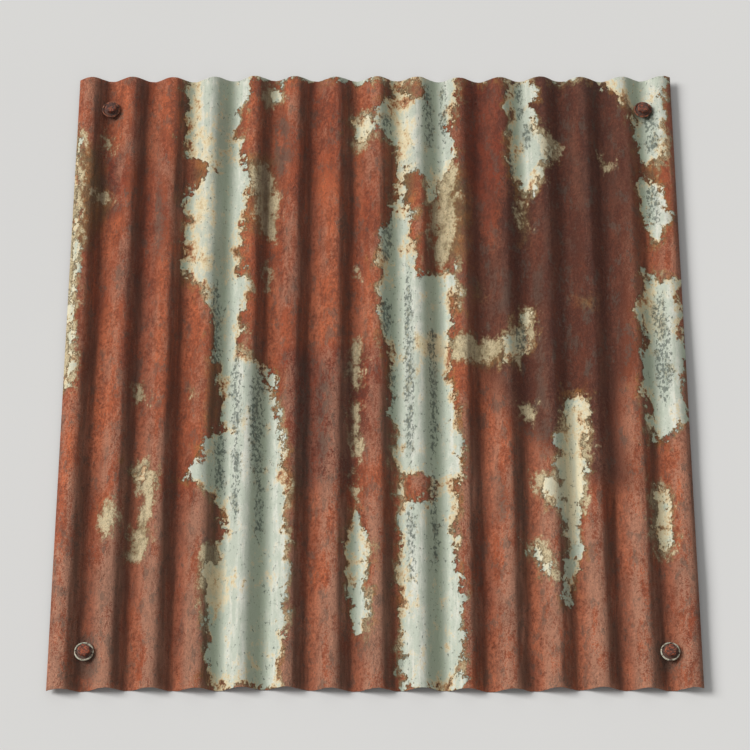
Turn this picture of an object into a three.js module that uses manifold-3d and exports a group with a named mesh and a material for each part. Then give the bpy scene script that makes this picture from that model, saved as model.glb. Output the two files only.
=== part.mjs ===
// A corrugated steel cladding sheet lying flat, with a hex-head screw and a dished washer near each corner.
// Millimetres. X runs across the corrugations, Y runs along them and Z is up from the floor.
// The origin is on the floor, under the middle of the sheet.

import * as THREE from 'three';
import { mergeVertices } from 'three/addons/utils/BufferGeometryUtils.js';
import Module from 'manifold-3d';

// ---- the rolled sheet ----
const PITCH = 76.2; // one corrugation, crest to crest
const CORRUGATION_COUNT = 14.5; // across the sheet's whole width
const DEPTH = 18; // valley to crest, both on the middle of the steel
const FLANK_LENGTH = 18; // straight stretch of steel between two bends
const SHEET_THICKNESS = 0.8;
const SHEET_LENGTH = 1219;
const LEFT_LAP = 0.3; // corrugations from the left edge to the first crest
const END_WANDER = 4; // how far the hand-cut ends stray inwards from square
const END_WAVES = [1.6, 4.3]; // waves of that straying, counted across the width
const BENDS_PER_PITCH = 2; // a crest and a valley
const SPARE_BENDS = 2; // bends drawn past each long edge, where the edge cuts them off
const FACETS_PER_BEND = 7; // odd, so that each crest and valley has a level facet in its middle

// ---- the fixings ----
const FIXING_FROM_END = 70; // screw axis to the end of the sheet
const HOLE_DIAMETER = 10; // hole through the valley, easy on the shank
const SHANK_DIAMETER = 8;
const SHANK_END_LIFT = 0.3; // the worn-off shank stops this far above the sheet's underside
const WASHER_DIAMETER = 34;
const WASHER_THICKNESS = 2;
const WASHER_DISH = 2; // how far the middle of the washer stands above its rim
const WASHER_RIM_RADIUS = 1.7; // half-round bead that stiffens the rim
const WASHER_BORE_CLEARANCE = 0.5; // all round the shank
const HEAD_ACROSS_FLATS = 19;
const HEAD_HEIGHT = 8;
const HEAD_CHAMFER_ANGLE = 30; // degrees, from level
const SEAT_GAP = 0.3; // air between two pieces that bear on each other

// ---- how finely round things are cut ----
const HOLE_SIDES = 24;
const SHANK_SIDES = 16;
const WASHER_SIDES = 36; // a multiple of four, so that the rim has a corner over each flank
const RIM_FACETS = 6;
const CHAMFER_SIDES = 36;
const CUTTER_MARGIN = 1; // how far a cutting shape runs past what it cuts

const SHEET_WIDTH = PITCH * CORRUGATION_COUNT;
const SHANK_RADIUS = SHANK_DIAMETER / 2;
const WASHER_RADIUS = WASHER_DIAMETER / 2;
const WASHER_BORE_RADIUS = SHANK_RADIUS + WASHER_BORE_CLEARANCE;

const manifold = await Module();
manifold.setup();

// ---- materials ----
const rustedSheet = new THREE.MeshStandardMaterial({ color: 0x9a4a35, roughness: 0.62, metalness: 0.35 });
const rustedWasher = new THREE.MeshStandardMaterial({ color: 0x8c8068, roughness: 0.7, metalness: 0.4 });
const rustedScrew = new THREE.MeshStandardMaterial({ color: 0x5c2f22, roughness: 0.75, metalness: 0.45 });

// ---- solids ----

// Closed three.js geometry to a solid that can be cut and joined.
function toSolid(geometry) {
  const bare = geometry.clone();
  bare.deleteAttribute('normal');
  bare.deleteAttribute('uv');
  const merged = mergeVertices(bare, 1e-5);
  return new manifold.Manifold(
    new manifold.Mesh({
      numProp: 3,
      vertProperties: new Float32Array(merged.attributes.position.array),
      triVerts: new Uint32Array(merged.index.array),
    }),
  );
}

// A solid back to three.js geometry.
function toGeometry(solid) {
  const mesh = solid.getMesh();
  const geometry = new THREE.BufferGeometry();
  geometry.setAttribute('position', new THREE.BufferAttribute(new Float32Array(mesh.vertProperties), 3));
  geometry.setIndex(new THREE.BufferAttribute(new Uint32Array(mesh.triVerts), 1));
  geometry.computeVertexNormals();
  return geometry;
}

// An upright cylinder that stands from one height to another on the Z axis.
function uprightCylinder(radius, bottom, top, sides) {
  const cylinder = new THREE.CylinderGeometry(radius, radius, top - bottom, sides);
  cylinder.rotateX(Math.PI / 2);
  cylinder.translate(0, 0, (bottom + top) / 2);
  return cylinder;
}

// A closed profile of [radius, height] points, counter-clockwise, turned about the Z axis.
function turned(profile, sides) {
  const points = profile.map(([radius, height]) => new THREE.Vector2(radius, height));
  const lathe = new THREE.LatheGeometry(points, sides);
  lathe.rotateX(Math.PI / 2);
  return lathe;
}

// ---- the section of the sheet ----

// The wave is made of equal bends joined by straight flanks. A quarter wave runs from the middle of a
// bend to the middle of a flank, and these two give the bend's radius and the angle that it turns through.
const quarterPitch = PITCH / 4;
const halfDepth = DEPTH / 2;
const halfFlank = FLANK_LENGTH / 2;
const bendRadius = (quarterPitch ** 2 + halfDepth ** 2 - halfFlank ** 2) / DEPTH;
const flankAngle = Math.atan2(quarterPitch, bendRadius - halfDepth) - Math.atan2(halfFlank, bendRadius);

// One bend of a face of the sheet, from left to right: turn is +1 over a crest and -1 through a valley,
// and offset is the face's height above the middle of the steel.
function bendPoints(centreX, turn, offset) {
  const radius = bendRadius + turn * offset;
  const bendCentreZ = turn * (halfDepth - bendRadius);
  return Array.from({ length: FACETS_PER_BEND + 1 }, (_, step) => {
    const angle = flankAngle * ((2 * step) / FACETS_PER_BEND - 1);
    return [centreX + radius * Math.sin(angle), bendCentreZ + turn * radius * Math.cos(angle)];
  });
}

// Height of a run of points at x, on the straight line between its neighbours.
function heightAt(points, x) {
  const next = points.findIndex((point) => point[0] >= x);
  const [x0, z0] = points[next - 1];
  const [x1, z1] = points[next];
  return z0 + ((z1 - z0) * (x - x0)) / (x1 - x0);
}

// One whole face of the sheet from its left edge to its right edge.
function facePoints(offset) {
  const lastBend = Math.ceil(BENDS_PER_PITCH * CORRUGATION_COUNT) + SPARE_BENDS;
  const bendSpacing = PITCH / BENDS_PER_PITCH;
  const leftCrest = -SHEET_WIDTH / 2 + LEFT_LAP * PITCH;
  const wave = [];
  for (let bend = -SPARE_BENDS; bend <= lastBend; bend += 1) {
    const isCrest = bend % BENDS_PER_PITCH === 0;
    wave.push(...bendPoints(leftCrest + bend * bendSpacing, isCrest ? 1 : -1, offset));
  }
  const left = -SHEET_WIDTH / 2;
  const right = SHEET_WIDTH / 2;
  const clearOfEdge = SHEET_THICKNESS / 4;
  const inside = wave.filter(([x]) => x > left + clearOfEdge && x < right - clearOfEdge);
  return [[left, heightAt(wave, left)], ...inside, [right, heightAt(wave, right)]];
}

const underside = facePoints(-SHEET_THICKNESS / 2);
const floorLevel = Math.min(...underside.map(([, z]) => z));
const topside = facePoints(SHEET_THICKNESS / 2);

// ---- the sheet ----

// How far an end strays inwards, at a share of the width counted from the corner that is square.
function endInset(share) {
  const swing = END_WAVES.reduce((sum, waves) => sum + Math.cos(2 * Math.PI * waves * share), 0);
  return (END_WANDER * (1 - swing / END_WAVES.length)) / 2;
}

// The near end is square at its left corner and the far end at its right corner.
function endY(x, isFarEnd) {
  const share = x / SHEET_WIDTH + 0.5;
  const inset = endInset(isFarEnd ? 1 - share : share);
  return isFarEnd ? SHEET_LENGTH / 2 - inset : inset - SHEET_LENGTH / 2;
}

function sheetBlank() {
  const outline = [...underside, ...[...topside].reverse()];
  const shape = new THREE.Shape(outline.map(([x, z]) => new THREE.Vector2(x, z)));
  const extrusion = new THREE.ExtrudeGeometry(shape, { depth: SHEET_LENGTH, bevelEnabled: false });
  extrusion.rotateX(Math.PI / 2); // the section's height becomes Z, and the extrusion runs towards -Y
  extrusion.translate(0, SHEET_LENGTH / 2, -floorLevel);
  const position = extrusion.attributes.position;
  for (let index = 0; index < position.count; index += 1) {
    position.setY(index, endY(position.getX(index), position.getY(index) > 0));
  }
  return extrusion;
}

// The fixings stand in the first and the last whole valley.
const firstValleyX = -SHEET_WIDTH / 2 + (LEFT_LAP + 0.5) * PITCH;
const wholeValleys = Math.floor(CORRUGATION_COUNT - LEFT_LAP);
const lastValleyX = firstValleyX + (wholeValleys - 1) * PITCH;
const fixingY = SHEET_LENGTH / 2 - FIXING_FROM_END;
const fixings = [
  { place: 'near_left', x: firstValleyX, y: -fixingY, turn: 12 },
  { place: 'near_right', x: lastValleyX, y: -fixingY, turn: 41 },
  { place: 'far_left', x: firstValleyX, y: fixingY, turn: 27 },
  { place: 'far_right', x: lastValleyX, y: fixingY, turn: 3 },
];

function sheetGeometry() {
  const crestLevel = DEPTH + SHEET_THICKNESS;
  const drillShape = uprightCylinder(HOLE_DIAMETER / 2, -CUTTER_MARGIN, crestLevel + CUTTER_MARGIN, HOLE_SIDES);
  const drill = toSolid(drillShape);
  const drilled = fixings.reduce(
    (solid, { x, y }) => solid.subtract(drill.translate([x, y, 0])),
    toSolid(sheetBlank()),
  );
  return toGeometry(drilled);
}

// ---- the washers ----

// The washer bridges the valley: its rim bears on the two flanks, as high as the flanks are there.
const flankHeight = heightAt(topside, firstValleyX + WASHER_RADIUS) - floorLevel;
const washerLevel = flankHeight + SEAT_GAP;

function washerGeometry() {
  const rimCentre = WASHER_RADIUS - WASHER_RIM_RADIUS;
  const rimBead = Array.from({ length: RIM_FACETS + 1 }, (_, step) => {
    const angle = (Math.PI * step) / RIM_FACETS;
    return [
      rimCentre + WASHER_RIM_RADIUS * Math.cos(angle),
      WASHER_RIM_RADIUS * (1 + Math.sin(angle)),
    ];
  });
  const profile = [
    [WASHER_BORE_RADIUS, WASHER_DISH],
    [rimCentre - WASHER_RIM_RADIUS, 0],
    [WASHER_RADIUS, 0],
    ...rimBead,
    [WASHER_BORE_RADIUS, WASHER_DISH + WASHER_THICKNESS],
    [WASHER_BORE_RADIUS, WASHER_DISH],
  ];
  return turned(profile, WASHER_SIDES);
}

// ---- the screws ----

const headLevel = washerLevel + WASHER_DISH + WASHER_THICKNESS + SEAT_GAP;

// The screw's own zero is the underside of its head.
function screwGeometry() {
  const cornerRadius = HEAD_ACROSS_FLATS / 2 / Math.cos(Math.PI / 6);
  const hexagon = toSolid(uprightCylinder(cornerRadius, 0, HEAD_HEIGHT, 6));
  const chamferInner = HEAD_ACROSS_FLATS / 2;
  const clearRadius = cornerRadius + CUTTER_MARGIN;
  const chamferDrop = (clearRadius - chamferInner) * Math.tan(THREE.MathUtils.degToRad(HEAD_CHAMFER_ANGLE));
  const chamferCone = turned(
    [
      [0, -CUTTER_MARGIN],
      [clearRadius, -CUTTER_MARGIN],
      [clearRadius, HEAD_HEIGHT - chamferDrop],
      [chamferInner, HEAD_HEIGHT],
      [0, HEAD_HEIGHT],
    ],
    CHAMFER_SIDES,
  );
  const shank = uprightCylinder(SHANK_RADIUS, SHANK_END_LIFT - headLevel, HEAD_HEIGHT / 2, SHANK_SIDES);
  return toGeometry(hexagon.intersect(toSolid(chamferCone)).add(toSolid(shank)));
}

// ---- assembly ----

function named(name, geometry, material) {
  const mesh = new THREE.Mesh(geometry, material);
  mesh.name = name;
  return mesh;
}

// One washer with its screw, standing in its valley.
function fixing({ place, x, y, turn }) {
  const washer = named(`washer_${place}`, washerGeometry(), rustedWasher.clone());
  washer.position.z = washerLevel;
  const screw = named(`screw_${place}`, screwGeometry(), rustedScrew.clone());
  screw.position.z = headLevel;
  screw.rotation.z = THREE.MathUtils.degToRad(turn);
  const pair = new THREE.Group();
  pair.add(washer, screw);
  pair.position.set(x, y, 0);
  return pair;
}

const corrugatedSheet = new THREE.Group();
corrugatedSheet.name = 'corrugated_sheet';
corrugatedSheet.add(named('sheet', sheetGeometry(), rustedSheet));
corrugatedSheet.add(...fixings.map(fixing));

export default corrugatedSheet;
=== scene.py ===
"""Dresses a weathered corrugated steel sheet and the screws and washers near its corners.

Metres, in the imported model's own frame: X across the corrugations, Y along them, Z up from the floor.
"""

from __future__ import annotations

import logging
import math
from dataclasses import dataclass, field
from enum import Enum
from typing import Any, Callable, Mapping, Sequence, Union

import bpy
import numpy as np
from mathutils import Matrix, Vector


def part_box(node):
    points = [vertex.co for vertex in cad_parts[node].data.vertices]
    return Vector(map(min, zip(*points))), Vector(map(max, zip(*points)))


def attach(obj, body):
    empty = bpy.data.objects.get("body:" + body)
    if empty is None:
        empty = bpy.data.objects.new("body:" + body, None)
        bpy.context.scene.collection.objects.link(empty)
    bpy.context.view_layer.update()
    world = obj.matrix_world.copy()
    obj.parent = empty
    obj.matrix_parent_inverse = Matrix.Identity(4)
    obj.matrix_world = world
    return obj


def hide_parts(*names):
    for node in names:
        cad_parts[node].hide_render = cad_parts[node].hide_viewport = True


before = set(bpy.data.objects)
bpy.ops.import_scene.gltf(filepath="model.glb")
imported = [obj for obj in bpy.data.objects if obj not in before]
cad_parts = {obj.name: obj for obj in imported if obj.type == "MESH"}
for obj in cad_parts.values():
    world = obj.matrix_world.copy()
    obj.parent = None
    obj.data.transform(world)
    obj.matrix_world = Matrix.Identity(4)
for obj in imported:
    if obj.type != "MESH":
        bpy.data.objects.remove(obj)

LOG = logging.getLogger("corrugated_sheet")
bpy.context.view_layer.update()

Colour = tuple[float, float, float, float]
SocketKey = Union[str, int]
SocketValue = Union["Wire", float, int, bool, str, tuple, bpy.types.ID]
Rows = tuple[tuple[float, float, float], ...]
Lens = tuple[float, float, float, float]
Layer = tuple["Wire", SocketValue]


def srgb(*screen: int) -> Colour:
    """Turn a colour in screen values into the linear one that shaders take.

    Args:
        *screen: Red, green and blue, 0 to 255.

    Returns:
        The linear colour, with an alpha of 1.
    """
    shares = np.array(screen) / 255
    linear = np.where(shares <= 0.04045, shares / 12.92, ((shares + 0.055) / 1.055) ** 2.4)
    return (*linear.tolist(), 1.0)


def add_object(name: str, data: bpy.types.ID) -> bpy.types.Object:
    """Put an object in the scene.

    Args:
        name: Its name.
        data: Its mesh, lamp or camera.

    Returns:
        The object.
    """
    thing = bpy.data.objects.new(name, data)
    bpy.context.scene.collection.objects.link(thing)
    return thing


def read_vectors(items: Any, key: str) -> np.ndarray:
    """Read one vector of each vertex or normal.

    Args:
        items: The mesh's vertices or normals.
        key: The vector's name.

    Returns:
        Three rows: X, Y and Z.
    """
    values = np.empty(len(items) * 3)
    items.foreach_get(key, values)
    return values.reshape(-1, 3).T


def write_layer(mesh: bpy.types.Mesh, name: str, values: Sequence[float] | np.ndarray) -> None:
    """Write a number at each point of a mesh, for a finish or a node tree to read."""
    layer = mesh.attributes.new(name, "FLOAT", "POINT")
    layer.data.foreach_set("value", np.array(values, dtype=float))


# ---- Node trees written as Python expressions ----


def operator(operation: str, is_reflected: bool = False) -> Callable[["Wire", SocketValue], "Wire"]:
    """Make the method behind one of the operators of a wire.

    Args:
        operation: The Math node's operation.
        is_reflected: Whether the wire stands right of the operator.

    Returns:
        The method.
    """
    def apply(wire: "Wire", other: SocketValue) -> "Wire":
        """Add the Math node."""
        sockets = {0: other, 1: wire} if is_reflected else {0: wire, 1: other}
        return wire.canvas.node("ShaderNodeMath", sockets, operation=operation)

    return apply


class Wire:
    """An output socket on which Python's arithmetic adds Math nodes."""

    __add__ = operator("ADD")
    __radd__ = operator("ADD", is_reflected=True)
    __sub__ = operator("SUBTRACT")
    __rsub__ = operator("SUBTRACT", is_reflected=True)
    __mul__ = operator("MULTIPLY")
    __rmul__ = operator("MULTIPLY", is_reflected=True)
    __truediv__ = operator("DIVIDE")
    lowest = operator("MINIMUM")
    highest = operator("MAXIMUM")

    def __init__(self, canvas: "NodeCanvas", socket: bpy.types.NodeSocket) -> None:
        """Wrap an output socket of a node in a canvas."""
        self.canvas = canvas
        self.socket = socket

    def math(self, operation: str, other: SocketValue = 0.0) -> "Wire":
        """Add a Math node of this value and, where the operation takes one, another."""
        return self.canvas.node("ShaderNodeMath", {0: self, 1: other}, operation=operation)

    def __neg__(self) -> "Wire":
        """Turn the sign."""
        return self * -1.0

    def __abs__(self) -> "Wire":
        """Drop the sign."""
        return self.math("ABSOLUTE")

    def swing(self, strength: float) -> "Wire":
        """Turn a noise centred on 0.5 into one centred on 0, and give it a strength."""
        return (self - 0.5) * strength

    def ramp(self, low: float, high: float, bottom: float = 0.0, top: float = 1.0) -> "Wire":
        """Ease from bottom to top as this value goes from low to high, or falls where low is the higher."""
        sockets = {"Value": self, "From Min": low, "From Max": high, "To Min": bottom, "To Max": top}
        return self.canvas.node("ShaderNodeMapRange", sockets, interpolation_type="SMOOTHSTEP")


class NodeCanvas:
    """A node tree to which nodes are added by one method."""

    def __init__(self, tree: bpy.types.NodeTree) -> None:
        """Empty a tree, to fill it."""
        self.tree = tree
        tree.nodes.clear()

    def place(
        self, kind: str, sockets: Mapping[SocketKey, SocketValue] | None = None, **settings: Any
    ) -> bpy.types.Node:
        """Add a node, give it its settings, and then its socket values and links.

        Args:
            kind: The node's type.
            sockets: Input name or number to a value or a wire.
            **settings: The node's own properties.

        Returns:
            The node.
        """
        node = self.tree.nodes.new(kind)
        for name, value in settings.items():
            setattr(node, name, value)
        for key, value in (sockets or {}).items():
            if isinstance(value, Wire):
                self.tree.links.new(value.socket, node.inputs[key])
            else:
                node.inputs[key].default_value = value
        return node

    def node(
        self,
        kind: str,
        sockets: Mapping[SocketKey, SocketValue] | None = None,
        output: SocketKey = 0,
        **settings: Any,
    ) -> Wire:
        """Add a node as place does, and take the output with a name or a number."""
        return Wire(self, self.place(kind, sockets, **settings).outputs[output])

    def scaled(self, vector: SocketValue, scale: SocketValue) -> Wire:
        """Multiply a vector or a colour by a number."""
        return self.node("ShaderNodeVectorMath", {0: vector, "Scale": scale}, operation="SCALE")

    def part(self, vector: SocketValue, axis: str) -> Wire:
        """Take X, Y or Z out of a vector."""
        return self.node("ShaderNodeSeparateXYZ", {"Vector": vector}, output=axis)


class Shader(NodeCanvas):
    """A finish: a material's tree, with the textures and mixes that all finishes share."""

    NAME = "finish"
    MIX_COLOUR_A = 6
    MIX_COLOUR_B = 7
    MIX_COLOUR_RESULT = 2
    MILLIMETRE = 0.001

    def __init__(self) -> None:
        """Make the finish's material and empty its tree."""
        self.material = bpy.data.materials.new(self.NAME)
        self.material.use_nodes = True
        super().__init__(self.material.node_tree)
        self.place_on_piece = self.node("ShaderNodeTexCoord", output="Object")

    def attribute(self, name: str) -> Wire:
        """Read a number that the mesh carries at each point."""
        return self.node("ShaderNodeAttribute", output="Fac", attribute_name=name)

    def noise(
        self, scale: float, octaves: float, roughness: float, along: float = 1.0, offset: float = 0.0
    ) -> Wire:
        """Add fractal noise on the piece's own coordinates.

        Args:
            scale: Lumps in a metre.
            octaves: How many finer noises are added.
            roughness: Strength of the finer ones.
            along: Scale of Y. Below 1 it draws the lumps out along the corrugations.
            offset: Moves the pattern, so that two of them don't match.

        Returns:
            The noise, centred on 0.5.
        """
        stretch = {0: self.place_on_piece, 1: (1.0, along, 1.0)}
        stretched = self.node("ShaderNodeVectorMath", stretch, operation="MULTIPLY")
        move = {0: stretched, 1: (offset, offset, offset)}
        where = self.node("ShaderNodeVectorMath", move, operation="ADD")
        sockets = {"Vector": where, "Scale": scale, "Detail": octaves, "Roughness": roughness}
        return self.node("ShaderNodeTexNoise", sockets, output="Fac")

    def mix(self, factor: SocketValue, under: SocketValue, over: SocketValue) -> Wire:
        """Lay the upper colour over the lower one, as thickly as the factor says."""
        sockets = {0: factor, self.MIX_COLOUR_A: under, self.MIX_COLOUR_B: over}
        return self.node("ShaderNodeMix", sockets, self.MIX_COLOUR_RESULT, data_type="RGBA")

    def coated(self, colour: SocketValue, *layers: Layer) -> Wire:
        """Lay colours over one another.

        Args:
            colour: The lowest colour.
            *layers: How much of each further colour shows, and the colour, from the lowest up.

        Returns:
            The mixed colour.
        """
        for factor, over in layers:
            colour = self.mix(factor, colour, over)
        return colour

    def surface(
        self,
        colour: SocketValue,
        roughness: SocketValue,
        metallic: SocketValue,
        relief: Wire | None = None,
        reflection: float = 0.5,
    ) -> bpy.types.Material:
        """Finish the material with a Principled shader.

        Args:
            colour: Base colour.
            roughness: Roughness.
            metallic: Metallic share.
            relief: Fine relief in millimetres, or None.
            reflection: Strength of the reflection. Porous rust has little.

        Returns:
            The material.
        """
        sockets: dict[SocketKey, SocketValue] = {
            "Base Color": colour,
            "Roughness": roughness,
            "Metallic": metallic,
            "Specular IOR Level": reflection,
        }
        if relief is not None:
            bump = {"Strength": 1.0, "Distance": self.MILLIMETRE, "Height": relief}
            sockets["Normal"] = self.node("ShaderNodeBump", bump)
        shader = self.node("ShaderNodeBsdfPrincipled", sockets, output="BSDF")
        self.place("ShaderNodeOutputMaterial", {"Surface": shader})
        return self.material


class Growth(NodeCanvas):
    """A geometry node tree with named inputs, run on a piece and then turned to a plain mesh."""

    def __init__(self, name: str) -> None:
        """Make an empty geometry tree.

        Args:
            name: The tree's name.
        """
        tree = bpy.data.node_groups.new(name, "GeometryNodeTree")
        super().__init__(tree)
        for direction in ("INPUT", "OUTPUT"):
            tree.interface.new_socket("Geometry", in_out=direction, socket_type="NodeSocketGeometry")
        self.entry = self.place("NodeGroupInput")
        self.settings: dict[str, Any] = {}

    def base(self) -> Wire:
        """Take the geometry that the tree is run on."""
        return Wire(self, self.entry.outputs["Geometry"])

    def setting(self, name: str, kind: str, value: Any) -> Wire:
        """Add a named input with the value that this piece uses.

        Args:
            name: The input's name.
            kind: The socket's type, such as Float or Int.
            value: The value.

        Returns:
            The input, to wire on.
        """
        socket = self.tree.interface.new_socket(name, in_out="INPUT", socket_type=f"NodeSocket{kind}")
        self.settings[socket.identifier] = value
        return Wire(self, self.entry.outputs[name])

    def sizes(self, **values: float) -> list[Wire]:
        """Add a named input for each size, to wire on."""
        return [self.setting(name, "Float", value) for name, value in values.items()]

    def vector(self, x: SocketValue, y: SocketValue, z: SocketValue) -> Wire:
        """Join three numbers into a vector."""
        return self.node("ShaderNodeCombineXYZ", {"X": x, "Y": y, "Z": z})

    def noise(
        self,
        where: Wire,
        scale: SocketValue,
        octaves: float,
        roughness: float,
        distortion: SocketValue = 0.0,
    ) -> Wire:
        """Add fractal noise centred on 0.5, with so many lumps in a metre of the coordinates."""
        sockets = {"Vector": where, "Scale": scale, "Detail": octaves, "Roughness": roughness}
        return self.node("ShaderNodeTexNoise", {**sockets, "Distortion": distortion})

    def grow(
        self, geometry: Wire, finish: bpy.types.Material, base: bpy.types.Mesh, name: str, crease: float
    ) -> bpy.types.Object:
        """Close the tree, run it and keep the result as a plain, smoothed mesh.

        Args:
            geometry: The tree's result.
            finish: The material that the tree gives it.
            base: The mesh that the tree is run on.
            name: The new piece's name.
            crease: Edges that turn by more degrees than this stay sharp.

        Returns:
            The piece, with no modifier left on it.
        """
        whole = self.node("GeometryNodeRealizeInstances", {"Geometry": geometry})
        dressing = {"Geometry": whole, "Material": self.setting("finish", "Material", finish)}
        self.place("NodeGroupOutput", {"Geometry": self.node("GeometryNodeSetMaterial", dressing)})
        piece = add_object(name, base)
        modifier = piece.modifiers.new("growth", "NODES")
        modifier.node_group = self.tree
        for identifier, value in self.settings.items():
            modifier[identifier] = value
        graph = bpy.context.evaluated_depsgraph_get()
        grown = bpy.data.meshes.new_from_object(piece.evaluated_get(graph), depsgraph=graph)
        piece.modifiers.remove(modifier)
        piece.data = grown
        grown.name = name
        grown.shade_smooth()
        grown.set_sharp_from_angle(angle=math.radians(crease))
        return piece


# ---- Where the old coat and the stains lie ----


class Stain(Enum):
    """What a patch on the weather side is made of, and the layer that keeps each point's depth in it."""

    PALE = "pale_depth"
    BARE = "bare_depth"
    MAROON = "maroon_depth"
    EMBER = "ember_depth"
    OCHRE = "ochre_depth"
    FILM = "film_depth"
    IRON = "iron_depth"
    MOULD = "mould_depth"


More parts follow.
